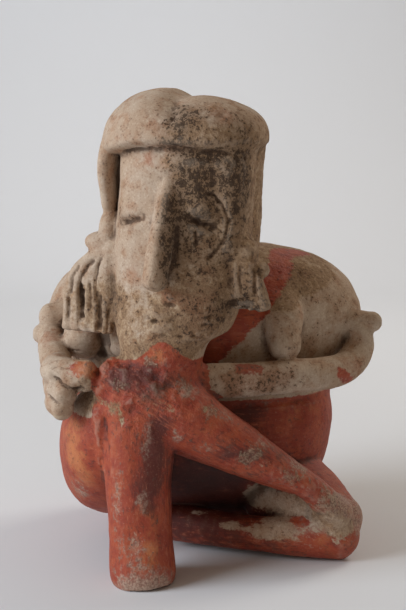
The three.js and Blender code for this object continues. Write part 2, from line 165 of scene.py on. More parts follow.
def bodyPieces():
    # every lump below the head as a roll through stops of place and half sizes; the skirt and the torso are stacks
    # of levels given as shares of their height, width and depth, with the place of each level's middle
    f = figure
    half = f["legThickness"] / 2
    arm = f["armThickness"] / 2
    seat, hips, seatDepth = f["seatHeight"], f["hipWidth"], f["seatDepth"]
    rise = f["backTop"] - seat
    skirt = [(0, 0.48, 0.43, -8, 41), (0.11, 0.6, 0.62, -7, 35), (0.22, 0.73, 0.8, -5, 28),
             (0.36, 0.86, 0.93, -4, 22), (0.55, 0.96, 1, -3, 18), (0.8, 1, 1, -2, 17), (1, 0.96, 0.93, -0.5, 17)]
    torso = [(-0.1, 0.8, 0.88, 16), (0.1, 0.83, 0.9, 16), (0.33, 0.92, 0.96, 17), (0.53, 1, 1, 18),
             (0.68, 0.965, 0.97, 19), (0.81, 0.87, 0.88, 18), (0.92, 0.7, 0.72, 16), (0.985, 0.45, 0.48, 14)]
    skirtLevels = [(z * seat, x, y, w * hips, d * seatDepth) for z, w, d, x, y in skirt]
    torsoLevels = [(seat + t * rise, 1, y, w * f["backWidth"], d * f["torsoDepth"]) for t, w, d, y in torso]
    knee = np.array([-26.5, -55, f["kneeHeight"] - 15])
    pieces = [
        stack(skirtLevels, power=2.4, endTip=2.5, sides=90),
        stack(torsoLevels, power=2.15, endTip=1.5, sides=90),
        # neck
        roll([[-8, -22, 127, 21, 16], [-3, -4, 122, 25, 17], [0, 14, 114, 28, 20]], (1, 0, 0), 2, 4, 4),
        # raised leg
        roll([[-31, 17, 37, 25, 25], [-39.5, -13, 46, 26, 30], [-37.5, -37, 60, 23.5, 25],
              [knee[0] - 2, knee[1] + 3, knee[2] - 3, 18.5, 16]], (1, 0, 0), 2.3, 8, 4, sides=60),
        roll([[knee[0] + 1, knee[1], knee[2] - 1, half + 4.5, half + 0.8],
              [-27.3, -57, 62, half + 2, half + 0.4], [-28, -59, 44, half + 0.3, half],
              [-27, -60.5, 24, half - 0.3, half], [-25.8, -62, 6, half + 0.3, half],
              [-25.4, -62.5, 0, half - 1.2, half - 0.5]], (1, 0, 0), 2.2, 14.5, 0, sides=60, rings=50),
        # hem, lap and web
        roll([[*place, *size] for place, size in zip(hemRidge, hemSizes)], (0, 1, 0), 2.2, 4, 4, rings=50),
        roll([[-24, -38, 66, 16, 10], [6, -36, 53, 18, 8], [38, -28, 38, 18, 6]], (0, 1, 0), 2.2, 4, 4),
        roll([[61, -34, 18, 7, 9], [45, -28, 23, 6, 12], [27, -15, 26, 6, 14]], (0, 1, 0), 2, 3, 8),
        # folded leg
        roll([[20, 12, 32, 22, 24], [43, -9, 24.5, 18.5, 18.5], [60.5, -30, 15.4, 13.5, 13.5]],
             (1, 0.6, 0), 2.2, 8, 10),
        roll([[60, -32.5, 12.3, 10.5, 12.3], [44, -33, 10.5, 8, 9],
              [14, -26, 10.8, 7.5, 8], [-14, -16, 12.5, 8, 9]], (0, 1, 0), 2.2, 11, 5),
        # arms
        roll([[73, -3, 101, arm - 1.5, arm - 1.5], [71.8, -6, 91, arm - 0.5, arm - 0.8],
              [63, -16, 84, arm, arm], [45, -29.5, 84, arm, arm], [24, -39, 84.3, arm, arm],
              [4, -46, 84.5, arm - 1, arm + 0.5], [-8, -50, 84.5, arm - 2.5, arm]],
             (0.55, -0.83, 0), 2, 3, 3, rings=60),
        roll([[-50, 2, 108, 8.5, 8], [-62, 0, 107, 7.8, 7.5], [-70.3, -2.5, 106.2, 6.7, 6.4]],
             (0, 0, 1), 2, 4, 6),
        roll([[-49, 2, 121, 10, 9], [-53.5, -9, 108, 9.5, 9.5], [-55, -17, 96, 9, 9]], (1, 0.2, 0), 2, 4, 6),
        roll([[-70.5, -3, 99, arm - 1, arm - 1], [-68.5, -15, 93, arm - 0.5, arm - 0.5],
              [-65, -30, 88.5, arm - 0.5, arm], [-62, -46, 84, arm - 0.5, arm + 3]], (1, 0.2, 0), 2, 3, 6),
    ]
    # shoulder knobs, then breasts, then the hand
    for inner, tip in (([56, 2, 101], [78.3, -3, 104]), ([-54, 2, 99.5], [-74.2, -3.5, 98.4])):
        middle = [0.4 * a + 0.6 * b for a, b in zip(inner, tip)]
        pieces.append(roll([[*inner, arm, arm], [*middle, arm - 0.3, arm - 0.8], [*tip, arm - 2.6, arm - 3]],
                           (0, 0, 1), 2, 4, 5))
    for x in (35, -33):
        outwards = math.copysign(1, x)
        pieces.append(roll([[x - 2 * outwards, -12, 121, 9, 5], [x, -21.5, 110, 10, 8.5],
                            [x + 1.5 * outwards, -29, 97, 7, 7.5]], (1, 0, 0), 2, 5, 6))
    pieces.append(roll([[-59.5, -51, 91.5, 7, 9], [-61, -53.5, 83, 5.8, 9.5], [-61.3, -53.5, 77.2, 5.4, 9]],
                       (1, 0, 0), 2, 5, 5))
    for z, share, reach in ((91, 0.66, 13.5), (83, 0.58, 4), (77.2, 0.55, 3)):
        s = share * f["fingerThickness"]
        pieces.append(roll([[-62.3, -42, z, s, s], [-62.5, -54, z, s, s],
                            [-62.5 + reach, -60.5, z - 1, s, s - 0.5]], (0, 0, 1), 2, 3, 4))
    return pieces


def headPieces():
    # drawn upright about the head's own axis: x to the side, y to the back, z up from the chin
    high, wide, deep = figure["headHeight"], figure["faceWidth"], figure["headDepth"]
    skull = [(-0.15, 0.56, 0.52, -3.5, -12), (0.02, 0.7, 0.66, -4, -9.5), (0.08, 0.91, 0.82, -1.2, -5),
             (0.17, 1, 0.93, -0.3, -1.5), (0.34, 1.02, 0.99, 0, 0), (0.55, 1, 1, 0, 0),
             (0.88, 0.96, 0.93, 0, 1.5)]
    skullLevels = [(t * high, x, y, w * wide, d * deep) for t, w, d, x, y in skull]
    strand = figure["strandThickness"] / 2
    pieces = [
        stack(skullLevels, power=2.5, startTip=3, endTip=4, sides=80, rings=60),
        # nose
        roll([[1.8, -24.5, 71, 4.2, 3.5], [1.2, -28, 60, 4.8, 5.5], [0.2, -32, 44, 5.4, 6.5],
              [-1, -34.3, 31.5, 5.4, 6.5]], (1, 0, 0), 1.65, 2.5, 3.5),
        # the back of the head, and the hair that hangs on her right and on her left
        stack([(20, 0, 13, 48, 28), (42, -0.5, 12, 63, 38), (70, -1.3, 11, 65.5, 43), (90, 0, 9, 66, 46)],
              power=2.4, startTip=8, endTip=2, sides=60),
        roll([[-28.4, -4, 93, 3.9, 10], [-31.7, -5, 77, 4.1, 10.5], [-31, -4, 61, 3.5, 8.5]],
             (1, 0, 0), 2.4, 0, 6),
        roll([[23.5, -5.5, 92, 9.5, 16], [22.3, -5, 74, 9, 16], [22.3, -4.5, 46, 8.5, 15]],
             (1, 0, 0), 2.4, 0, 7),
        # the ears' lobes
        egg([-33, -7, 43.5], [8.5, 7, 5]), egg([-30, -7, 50], [5, 7, 9]),
        egg([30.5, -7, 43], [5.5, 8, 6.5]), egg([37.5, -7, 36], [3.8, 4.5, 3.6]),
    ]
    # the cap of hair is an egg, flattened below, lower on her left and along the parting, and drooping on her right
    cap = {"middle": (0.8, -0.5, 90.0), "half": (35.0, 32.0, 21.0), "slump": 3.0, "parting": 1.6,
           "flattening": 0.28, "droop": 4.0}
    points, faces = egg(cap["middle"], cap["half"], 2.3, 90)
    x, height = points[:, 0], points[:, 2] - cap["middle"][2]
    share = np.maximum(height / cap["half"][2], 0)
    lowered = cap["slump"] * smoothStep(x, -9, 6) + cap["parting"] * np.exp(-(((x - 1) / 5) ** 2))
    sag = cap["droop"] * (1 - smoothStep(x, -30, -8))
    height = height * np.where(height < 0, cap["flattening"], 1)
    points[:, 2] = cap["middle"][2] + height - lowered * share - sag * (1 - share)
    pieces.append((points, faces))
    for side, count, spread, bottom in ((-1, 5, 4.7, 5), (1, 3, 5, 20.5)):
        for i in range(count):
            pieces.append(roll([
                [side * 27, -12, 43, strand - 0.5, strand - 0.3],
                [side * (28.5 + 0.5 * spread * i), -12 + 0.5 * i, 37.5 - 0.3 * i, strand, strand],
                [side * (29.5 + 0.88 * spread * i), -11.5 + 0.7 * i, 26, strand, strand],
                [side * (29.5 + spread * i), -11 + 0.8 * i, bottom, strand, strand],
            ], (1, 0, 0), 2, 2, 1, sides=24, rings=24))
    return [(headToFigure(points), faces) for points, faces in pieces]


def headTurns():
    # the turn about the upright after the lean to the side
    turn, lean = math.radians(-figure["headTurn"]), math.radians(figure["headLean"])
    turned = np.array([[math.cos(turn), -math.sin(turn), 0], [math.sin(turn), math.cos(turn), 0], [0, 0, 1]])
    leant = np.array([[math.cos(lean), 0, math.sin(lean)], [0, 1, 0], [-math.sin(lean), 0, math.cos(lean)]])
    return turned @ leant


def headToFigure(points):
    # down by the pivot's height, leant, turned, then up to the head's centre
    return (points - [0, 0, figure["headPivot"]]) @ headTurns().T + figure["headCentre"]


def figureToHead(points):
    # the way back; the turns' inverse is their transpose
    return (points - figure["headCentre"]) @ headTurns() + [0, 0, figure["headPivot"]]


def meshFrom(name, points, faces):
    # a mesh of triangles, its arrays written whole
    mesh = bpy.data.meshes.new(name)
    mesh.vertices.add(len(points))
    mesh.vertices.foreach_set("co", np.ascontiguousarray(points, np.float32).ravel())
    mesh.loops.add(faces.size)
    mesh.loops.foreach_set("vertex_index", np.ascontiguousarray(faces, np.int32).ravel())
    mesh.polygons.add(len(faces))
    mesh.polygons.foreach_set("loop_start", np.arange(0, faces.size, 3, dtype=np.int32))
    mesh.update(calc_edges=True)
    return mesh


def readPoints(mesh):
    # one row of x, y and z for every point
    points = np.empty(len(mesh.vertices) * 3, np.float32)
    mesh.vertices.foreach_get("co", points)
    return points.reshape(-1, 3).astype(float)


def readFaces(mesh):
    # every polygon as a fan of triangles, read from Blender's own triangulation
    mesh.calc_loop_triangles()
    faces = np.empty(len(mesh.loop_triangles) * 3, np.int32)
    mesh.loop_triangles.foreach_get("vertices", faces)
    return faces.reshape(-1, 3)


def readEdges(mesh):
    # one row of two point numbers for every edge
    edges = np.empty(len(mesh.edges) * 2, np.int32)
    mesh.edges.foreach_get("vertices", edges)
    return edges.reshape(-1, 2)


def shaped(mesh, kind, **settings):
    # the mesh as one Blender modifier leaves it
    piece = bpy.data.objects.new("working", mesh)
    bpy.context.scene.collection.objects.link(piece)
    modifier = piece.modifiers.new(kind, kind)
    for name, value in settings.items():
        setattr(modifier, name, value)
    result = bpy.data.meshes.new_from_object(piece.evaluated_get(bpy.context.evaluated_depsgraph_get()))
    bpy.data.objects.remove(piece)
    bpy.data.meshes.remove(mesh)
    return result


class Surface:
    # the fused clay as arrays: points, the edges between them and the faces they bound
    def __init__(self, mesh):
        self.mesh = mesh
        self.points = readPoints(mesh)
        self.edges = readEdges(mesh)
        self.faces = readFaces(mesh)
        self.valence = np.bincount(self.edges.ravel(), minlength=len(self.points)).astype(float)

    def spread(self, values):
        # for every point, the mean of the values at the points joined to it
        a, b = self.edges.T
        total = [np.bincount(a, column[b], len(self.points)) + np.bincount(b, column[a], len(self.points))
                 for column in np.atleast_2d(values.T)]
        return (np.stack(total, -1) / self.valence[:, None]).reshape(values.shape)

    def normals(self):
        # at every point, the sum of the cross products of its faces' sides, made one long
        p = self.points
        a, b, c = self.faces.T
        flat = np.cross(p[b] - p[a], p[c] - p[a])
        total = np.stack([sum(np.bincount(i, flat[:, k], len(p)) for i in (a, b, c)) for k in range(3)], -1)
        return total / np.maximum(np.linalg.norm(total, axis=1, keepdims=True), 1e-9)


def bell(points, centre, radii):
    # 1 at the centre, falling off as a bell curve that has sunk to a third at the given radii
    return np.exp(-np.sum(((points - np.array(centre)) / radii) ** 2, axis=1))


def lineDistance(points, path):
    # the shortest distance from every point to a line drawn through the given places
    nearest = np.full(len(points), np.inf)
    path = np.array(path, float)
    for start, end in zip(path[:-1], path[1:]):
        along = end - start
        t = np.clip((points - start) @ along / (along @ along), 0, 1)
        nearest = np.minimum(nearest, np.linalg.norm(points - start - t[:, None] * along, axis=1))
    return nearest


def noise(points, pitch, seed, layers=1):
    # random values on a lattice of the given pitch, eased between neighbours; each further layer has half the
    # pitch and half the strength, and one layer runs from -1 to 1
    generator = np.random.default_rng(seed)
    size = 32  # the lattice repeats after this many cells
    lattice = generator.random((size, size, size)) * 2 - 1
    points = points @ np.linalg.qr(generator.random((3, 3)))[0]
    total, strength = 0, 1
    for _ in range(layers):
        cell = np.floor(points / pitch).astype(int)
        t = points / pitch - cell
        t = t * t * (3 - 2 * t)
        for corner in np.ndindex(2, 2, 2):
            share = np.prod(np.where(corner, t, 1 - t), axis=1)
            i, j, k = ((cell + corner) % size).T
            total = total + strength * share * lattice[i, j, k]
        pitch, strength = pitch / 2, strength / 2
        points = points[:, [1, 2, 0]] + pitch / 3
    return total


clay = {
    "voxel": 0.65,
    "evening": 4,  # rounds of plain smoothing that take out the voxels' steps
    "inwards": 0.5,  # the share of the way to its neighbours' mean that a point moves in a round
    "outwards": 0.53,  # and the share that it then moves back
    "fillets": 45,  # rounds of softening where lumps meet
    "deepFillets": 160,  # rounds more where clay was smeared over a joint
    "softness": 0.35,  # of every joint, where 1 is the softest
    "hollowDepth": 0.04,  # mm below its neighbours' mean at which a point moves its full share
    "filling": 0.8,  # that full share
    "normalsEvery": 8,  # rounds between fresh normals
    "margin": 0.1,  # mm that the surface keeps inside the frame's box
    "triangles": 196000,
}
# where the maker smeared the joint over: centre and radii in mm, and how strongly
smeared = [
    ((-20, -62, 99), (20, 12, 9), 1.0),  # chin and knee
    ((-8, -62, 84), (16, 14, 10), 1.0),  # the hem where it leaves the knee
    ((-50, -55, 80), (7, 9, 7), 0.8),  # hand and knee
    ((-15, -72, 60), (10, 9, 16), 0.7),  # hem and shin
    ((55, -36, 20), (16, 12, 12), 1.0),  # the web at the folded knee
    ((36, -14, 120), (18, 14, 8), 1.0),  # the breast's upper end
    ((46, -16, 92), (16, 12, 5), 0.5),
    ((10, -68, 186), (18, 12, 5), 1.0),  # the brim on her left
    ((18, -62, 165), (9, 10, 22), 1.0),  # temple and side hair
    ((11, -62, 130), (6, 9, 14), 1.0),  # cheek and left ear
    ((-38, -52, 139), (12, 12, 6), 0.9),  # the top of the right ear's strands
    ((-46, -50, 118), (11, 12, 12), 0.4),  # the strands' lower ends
    ((-27, -66, 142), (6, 9, 20), 0.9),  # the nose's right flank
    ((-14, -70, 170), (7, 9, 8), 0.9),  # the nose's root
    ((0, 30, 71), (80, 60, 5), 0.8),  # waist
]


def fuse(pieces):
    # all lumps in one mesh, whose outside is then drawn anew on a grid of voxels
    offset, points, faces = 0, [], []
    for p, f in pieces:
        points.append(p)
        faces.append(f + offset)
        offset += len(p)
    mesh = meshFrom("lumps", np.concatenate(points), np.concatenate(faces))
    return shaped(mesh, "REMESH", mode="VOXEL", voxel_size=clay["voxel"])


def even(surface, rounds):
    # each round moves a point part of the way to its neighbours' mean, then back a little more, so nothing shrinks
    for _ in range(rounds):
        for share in (clay["inwards"], -clay["outwards"]):
            surface.points += share * (surface.spread(surface.points) - surface.points)


def fillet(surface, rounds, softness):
    # where a point lies in a hollow, below its neighbours' mean along its normal, it rises towards that mean
    active = np.flatnonzero(softness > 0.02)
    for i in range(rounds):
        if i % clay["normalsEvery"] == 0:
            normals = surface.normals()
        pull = surface.spread(surface.points) - surface.points
        depth = np.sum(pull[active] * normals[active], 1)
        hollow = np.clip(depth / clay["hollowDepth"], 0, 1) * softness[active]
        surface.points[active] += clay["filling"] * hollow[:, None] * pull[active]


# Marks on the head, each a line through places (x, z) in the head's mm, its half width, and its depth.
headMarks = {
    "right eye": ([(-21.2, 53.6), (-17.0, 55.0), (-13.0, 56.2), (-9.8, 57.0)], 1.6, 2.4),
    "left eye": ([(10.8, 58.0), (13.4, 57.0), (16.0, 55.9), (19.4, 54.5)], 1.45, 3.2),
    "crack by the left eye": ([(16.6, 68.7), (19.8, 67.0), (22.8, 63.5), (25.0, 59.5), (25.8, 55.3)],
                              0.45, 1.1),
    "crack's lower end": ([(25.9, 57.5), (24.8, 49.9), (22.3, 46.0), (19.3, 42.0)], 0.7, 1.1),
    "scratch under the eye": ([(13.6, 53.4), (14.2, 46.4)], 0.7, 1.6),
    "nose's left edge": ([(6.4, 54.0), (6.6, 47.0), (6.2, 40.0)], 0.8, 0.8),
    "brim's line": ([(-20, 83.8), (-6, 85.6), (3.4, 86.6), (13.4, 86.6), (19.1, 85.6), (26.2, 84.6)],
                    0.7, 0.9),
    "brim's end": ([(25.2, 84.6), (31.0, 83.2)], 0.5, 0.5),
    "temple groove": ([(31.3, 84.0), (31.6, 77.0), (31.2, 69.0)], 0.8, 2.6),
    "temple groove's end": ([(31.2, 70.2), (30.0, 65.7)], 0.6, 0.7),
    "crack under the brim": ([(13.1, 86.4), (13.4, 84.0), (14.5, 81.6)], 0.35, 0.6),
    "parting": ([(1.0, 106.6), (3.0, 100.0), (3.1, 95.4)], 1.6, 0.6),
    "parting's crack": ([(4.0, 99.4), (2.6, 96.0), (-0.4, 94.6)], 0.45, 0.7),
    "first side lock": ([(29.9, 39.5), (30.4, 33.0), (30.9, 27.6)], 0.65, 1.1),
    "second side lock": ([(36.0, 38.0), (36.6, 32.0), (36.8, 26.0)], 0.8, 1.6),
    "side locks' lower edge": ([(26.0, 22.6), (31.0, 24.4), (35.8, 25.4)], 0.6, 1.0),
    "cut above the side locks": ([(24.6, 42.0), (26.2, 34.0), (25.8, 27.0)], 1.4, 0.5),
    "first strand's edge": ([(-31.0, 38.2), (-33.6, 32.9), (-34.2, 26.8), (-34.0, 19.0)], 0.8, 1.5),
    "second strand's edge": ([(-34.2, 36.6), (-38.2, 33.4), (-41.3, 28.6), (-42.3, 23.0), (-41.5, 14.6)],
                             0.8, 1.5),
    "third strand's edge": ([(-41.5, 34.0), (-45.4, 28.0), (-46.2, 20.0)], 0.6, 0.7),
    "slot in the third strand": ([(-47.3, 20.4), (-47.4, 9.0)], 0.9, 1.3),
    "slot in the second strand": ([(-41.2, 24.0), (-40.7, 9.6)], 1.3, 2.4),
    "narrow slot": ([(-36.8, 26.6), (-36.4, 14.0)], 0.6, 0.8),
    "slot in the first strand": ([(-32.3, 22.0), (-32.2, 5.0)], 1.2, 1.9),
    "slot by the cheek": ([(-27.6, 16.0), (-28.4, 3.0)], 0.7, 1.0),
    "notch in the strand": ([(-29.8, 12.0), (-29.4, 5.0)], 0.5, 0.6),
}
# Lumps and pits on the front of the head: (x, z), half width, half height, and the rise in mm.
headLumps = {
    "brow under the brim": ((13.0, 80.5), 17.0, 5.0, 2.6),
    "left upper lid": ((15.2, 61.6), 4.6, 3.6, 1.9),
    "left lower lid": ((16.0, 52.6), 5.0, 1.6, 0.6),
    "right upper lid": ((-14.4, 59.8), 5.6, 2.8, 0.8),
    "right lower lid": ((-14.8, 52.4), 5.0, 1.6, 0.4),
    "left temple hollow": ((22.0, 58.0), 3.5, 6.0, -0.7),
    "mouth": ((-2.0, 14.2), 1.9, 1.2, -3.0),
    "mouth's slant": ((-5.0, 15.8), 2.2, 1.2, -0.9),
    "lips": ((-0.6, 14.0), 5.4, 4.4, 2.0),
    "upper lip": ((-0.6, 17.6), 4.6, 1.6, 0.7),
    "lower lip": ((0.2, 10.6), 4.8, 1.6, 0.7),
    "lip's knob": ((4.6, 13.2), 1.8, 1.6, 0.6),
    "bump under the nose": ((4.3, 25.2), 1.7, 1.5, 0.9),
    "pit under the bump": ((3.7, 21.8), 1.9, 1.1, -1.6),
    "pit in the jaw": ((19.8, 17.0), 0.9, 1.6, -1.3),
    "second pit in the jaw": ((17.6, 13.4), 1.0, 0.7, -0.9),
    "pit in the chin": ((8.4, 8.6), 1.3, 0.8, -0.9),
    "second pit in the chin": ((17.2, 7.0), 0.7, 2.4, -0.8),
    "third pit in the chin": ((13.6, 8.8), 0.8, 0.8, -0.8),
    "pit at the crack's end": ((19.3, 42.0), 1.3, 1.3, -1.0),
    "dimple in the cap": ((22.0, 99.8), 1.6, 1.4, -0.9),
    "chip in the left ear": ((28.0, 22.0), 2.2, 1.8, -1.8),
    "second chip in the left ear": ((33.4, 19.8), 2.6, 1.4, -1.6),
    "hollow of the ring lobe": ((38.4, 36.4), 1.9, 1.9, -1.5),
    "lock at the left ear": ((36.2, 31.5), 2.0, 3.2, 0.9),
}
# The same on the body, seen from the front: (x, z), half width, half height, and the rise in mm.
bodyMarks = {
    "between the first fingers": ([(-64.4, 90.4), (-62.0, 88.9), (-57.0, 86.0), (-52.0, 83.9)], 0.6, 1.5),
    "between the lower fingers": ([(-67.0, 82.4), (-64.0, 80.4), (-60.8, 78.6)], 0.6, 1.5),
    "on the first knuckle": ([(-64.6, 93.6), (-60.0, 94.4), (-54.5, 93.8)], 0.4, 0.6),
    "hip ridge": ([(-45.0, 75.0), (-44.0, 62.0), (-43.5, 50.0)], 1.6, -1.0),
    "hip fold": ([(-41.5, 74.0), (-40.2, 62.0), (-40.6, 48.0)], 1.2, 0.8),
    "lap fold": ([(44.0, 68.0), (40.0, 52.0), (43.0, 40.0)], 3.0, 0.7),
}
bodyLumps = {
    "knob of the knee": ((-43.0, 94.5), 3.0, 3.5, 1.6),
    "hollow of the knee": ((-30.0, 76.0), 5.0, 5.0, -0.8),
    "hollow beside the finger": ((-44.6, 92.0), 2.0, 2.6, -1.2),
    "knee's lower swell": ((-24.0, 66.0), 9.0, 5.0, 0.5),
    "pit in the first finger": ((-50.6, 92.4), 0.7, 0.6, -0.6),
    "gap by the hand": ((-51.6, 84.0), 2.6, 3.0, -1.6),
    "pale hollow in the shin": ((-28.6, 20.5), 4.5, 6.0, -0.8),
}


# How unevenly the marks were pressed.
handwork = {
    "depth": 0.95,  # the usual share of a mark's full depth
    "depthVaries": 0.3,
    "depthLimits": (0.75, 1.3),
    "depthPitch": 2.2,  # mm
    "stray": 0.4,  # mm that a line strays
    "strayPitch": 3.0,  # mm
    "endDepth": 0.35,  # the share of the depth at a line's ends
    "taper": 1.8,  # mm from an end to the full depth
    "facing": (0.05, 0.4),  # how squarely a point faces the front where a mark starts, and where it is full
}


def frontMarks(places, facing, marks, lumps):
    # how far each point rises, from its place seen from the front and how squarely it faces that way: each line
    # and lump is a bell curve of the distance from it, and the lines waver in place and depth as handwork does
    spot = np.column_stack([places, np.zeros(len(places))])
    rise = np.zeros(len(places))
    h = handwork
    uneven = np.clip(h["depth"] + h["depthVaries"] * noise(spot, h["depthPitch"], 21, 2), *h["depthLimits"])
    strays = [noise(spot, h["strayPitch"], seed, 2) for seed in (22, 23)]
    places = places + h["stray"] * np.column_stack(strays)
    for path, width, depth in marks.values():
        fromEnd = np.minimum(*(np.linalg.norm(places - path[end], axis=1) for end in (0, -1)))
        tapered = h["endDepth"] + (1 - h["endDepth"]) * smoothStep(fromEnd, 0, h["taper"])
        rise -= depth * uneven * tapered * np.exp(-(lineDistance(places, path) / width) ** 2)
    for centre, wide, high, height in lumps.values():
        rise += height * bell(places, centre, (wide, high))
    return rise * smoothStep(facing, *h["facing"])


# Where the head ends, as levels in mm of the height less a share of the way back, for the marks and the pitting.
# The last pair is how far back in the head's own mm the marks still reach.
headEnds = {"slope": 0.4, "marks": (120, 124), "pitting": (122, 128), "behind": (-2, 3)}


def pitting(head, points):
    # how rough the surface is, from 0 to about 1; the face's left half, the ears' lower ends and the knee are
    # the roughest
    onHead = smoothStep(points[:, 2] - headEnds["slope"] * points[:, 1], *headEnds["pitting"])
    face = onHead * smoothStep(head[:, 0], -8, 14) * (1 - 0.6 * smoothStep(head[:, 2], 92, 100))
    jaw = onHead * (1 - smoothStep(head[:, 2], 22, 34)) * (0.4 + 0.35 * smoothStep(head[:, 0], -16, 4))
    strands = bell(points, (-44, -52, 116), (12, 12, 14)) + bell(points, (17, -60, 124), (8, 9, 7))
    knee = bell(points, (-30, -62, 84), (24, 14, 16)) + bell(points, (-8, -66, 90), (14, 10, 12))
    ridge = np.exp(-(lineDistance(points, hemRidge) / 14) ** 2) * 0.7
    hand = 0.4 * bell(points, (-62, -60, 86), (10, 12, 14))
    return np.clip(0.15 + 0.75 * face + jaw + strands + knee + ridge - hand, 0, 1.2)


# Unevenness of the clay's skin: its height in mm, then its pitch in mm, the seed of its noise and its layers.
skin = {
    "swell": (0.45, (17, 1)),
    "press": (0.2, (6.5, 2, 2)),
    "grit": (0.14, (1.9, 3, 2)),
    "pits": (0.35, (2.6, 4, 3)),
    "crust": (0.45, (2.6, 5, 3)),
    "knee": (0.6, (3.6, 7, 2)),
    "drag": (0.12, (3.0, 6, 2)),
}


def relief(points, normals):
    # how far each point of the finished surface stands out from the softened one, in mm: the marks of the head and
    # the body plus every unevenness times its height
    head = figureToHead(points)
    headNormals = normals @ headTurns()
    onHead = smoothStep(points[:, 2] - headEnds["slope"] * points[:, 1], *headEnds["marks"])
    inFront = 1 - smoothStep(head[:, 1], *headEnds["behind"])  # the shoulders lie behind this
    rise = onHead * inFront * frontMarks(head[:, [0, 2]], -headNormals[:, 1], headMarks, headLumps)
    rise += (1 - onHead) * frontMarks(points[:, [0, 2]], -normals[:, 1], bodyMarks, bodyLumps)
    rough = pitting(head, points)
    high = {name: height for name, (height, _) in skin.items()}
    drawnOut = (1, 1, 0.25)  # dragging fingers lengthen it upright
    wave = {name: noise(points * drawnOut if name == "drag" else points, *grain)
            for name, (_, grain) in skin.items()}
    rise += high["swell"] * wave["swell"] + high["press"] * wave["press"]
    rise += rough * high["grit"] * wave["grit"]
    rise -= rough * high["pits"] * smoothStep(wave["pits"], 0.5, 1.1)
    rise += high["crust"] * crusted(points) * smoothStep(wave["crust"], -0.3, 1.0)
    rise += high["knee"] * bell(points, (-26, -64, 88), (22, 14, 13)) * wave["knee"]
    rise += high["drag"] * wave["drag"] * (1 - onHead)
    return rise


def crusted(points):
    # where mineral crust clings, from 0 to 1
    spots = [((2, -64, 75), (6, 6, 4)), ((20, -62, 56), (9, 6, 6)), ((38, -56, 45), (9, 7, 6)),
             ((54, -48, 31), (9, 8, 9)), ((-50, -60, 82), (6, 7, 8)), ((-34, -66, 88), (6, 6, 4)),
             ((20, -62, 121), (7, 6, 4)), ((-22, -66, 97), (6, 6, 4)),
             ((-46, -54, 112), (8, 8, 7)), ((3, -66, 84), (5, 5, 3))]
    return np.clip(sum(bell(points, centre, radii) for centre, radii in spots), 0, 1)


surface = Surface(fuse(bodyPieces() + headPieces()))
print("fused", len(surface.points), "points", len(surface.faces), "triangles")
even(surface, clay["evening"])
softness = sum(share * bell(surface.points, centre, radii) for centre, radii, share in smeared)
fillet(surface, clay["fillets"], np.clip(clay["softness"] + softness, 0, 1))
fillet(surface, clay["deepFillets"], np.clip(softness, 0, 1))
print("softened")
normals = surface.normals()
surface.points += relief(surface.points, normals)[:, None] * normals
low, high = (np.array(corner) * 1000 + figure["drawnMiddle"] for corner in cadBounds)
surface.points = np.clip(surface.points, low + clay["margin"], high - clay["margin"])
surface.points[:, 2] -= surface.points[:, 2].min()
print("carved")


class Cells:
    # keeps the mean of some values in small cubes, so that another mesh of the same form can look them up
    def __init__(self, points, values, pitch):
        self.pitch = pitch
        self.keys, where = np.unique(self.keyOf(points), return_inverse=True)
        self.means = np.bincount(where, values) / np.bincount(where)

    def keyOf(self, points):
        # the cube's counts along x, y and z, made positive, as the digits of one number
        base = 1000
        x, y, z = (np.floor(points / self.pitch).astype(np.int64) + base // 2).T
        return (x * base + y) * base + z

    def at(self, points):
        # the mean of the cube that each point lies in, or 0 where that cube is empty
        keys = self.keyOf(points)
        place = np.clip(np.searchsorted(self.keys, keys), 0, len(self.keys) - 1)
        return np.where(self.keys[place] == keys, self.means[place], 0)


def hollowness(surface, rounds):
    # how far each point lies below the surface as it would be after some rounds of smoothing, in mm
    smooth = surface.points.copy()
    for _ in range(rounds):
        smooth = 0.3 * smooth + 0.7 * surface.spread(smooth)
    return np.sum((smooth - surface.points) * surface.normals(), axis=1)


# Rounds of smoothing that the surface is measured against, and the cubes' size in mm.
measures = {"crevices": (12, 1.0), "hollows": (90, 2.0)}
# these depths later darken the cuts, partly as earth and partly as painted shade, and the hollows as painted shade
crevices, hollows = (Cells(surface.points, hollowness(surface, rounds), pitch)
                     for rounds, pitch in measures.values())
print("measured")

mesh = surface.mesh
metres = (surface.points - figure["drawnMiddle"]) / 1000
mesh.vertices.foreach_set("co", metres.astype(np.float32).ravel())
mesh.update()
mesh = shaped(mesh, "DECIMATE", ratio=min(1.0, clay["triangles"] / len(surface.faces)))
mesh.name = "terracottaFigure"
mesh.shade_smooth()
terracotta = bpy.data.objects.new("terracottaFigure", mesh)
bpy.context.scene.collection.objects.link(terracotta)
print("triangles", len(readFaces(mesh)))
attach(terracotta, "root")
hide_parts("seated_figure")


# Where the red slip was brushed over the bare clay: a line through places in mm, its half width, and how well it
# covers. The patches are thinner, so that the specks wear through.
slipBands = {
    "sash": ([(46, 8, 138), (37, 0, 136), (33, -17, 127), (25, -27, 116), (14, -28, 104), (2, -30, 92)],
             5.5, 0.9),
    "forearm patch": ([(17, -46, 90), (24, -44, 89)], 3.2, 0.62),
    "elbow patch": ([(62, -26, 84), (66, -22, 80)], 3.0, 0.62),
    "upper elbow patch": ([(47, -33, 92), (57, -28, 91)], 1.3, 0.62),
    "first finger": ([(-53, -64, 94), (-48, -64, 93)], 4.0, 0.62),
}
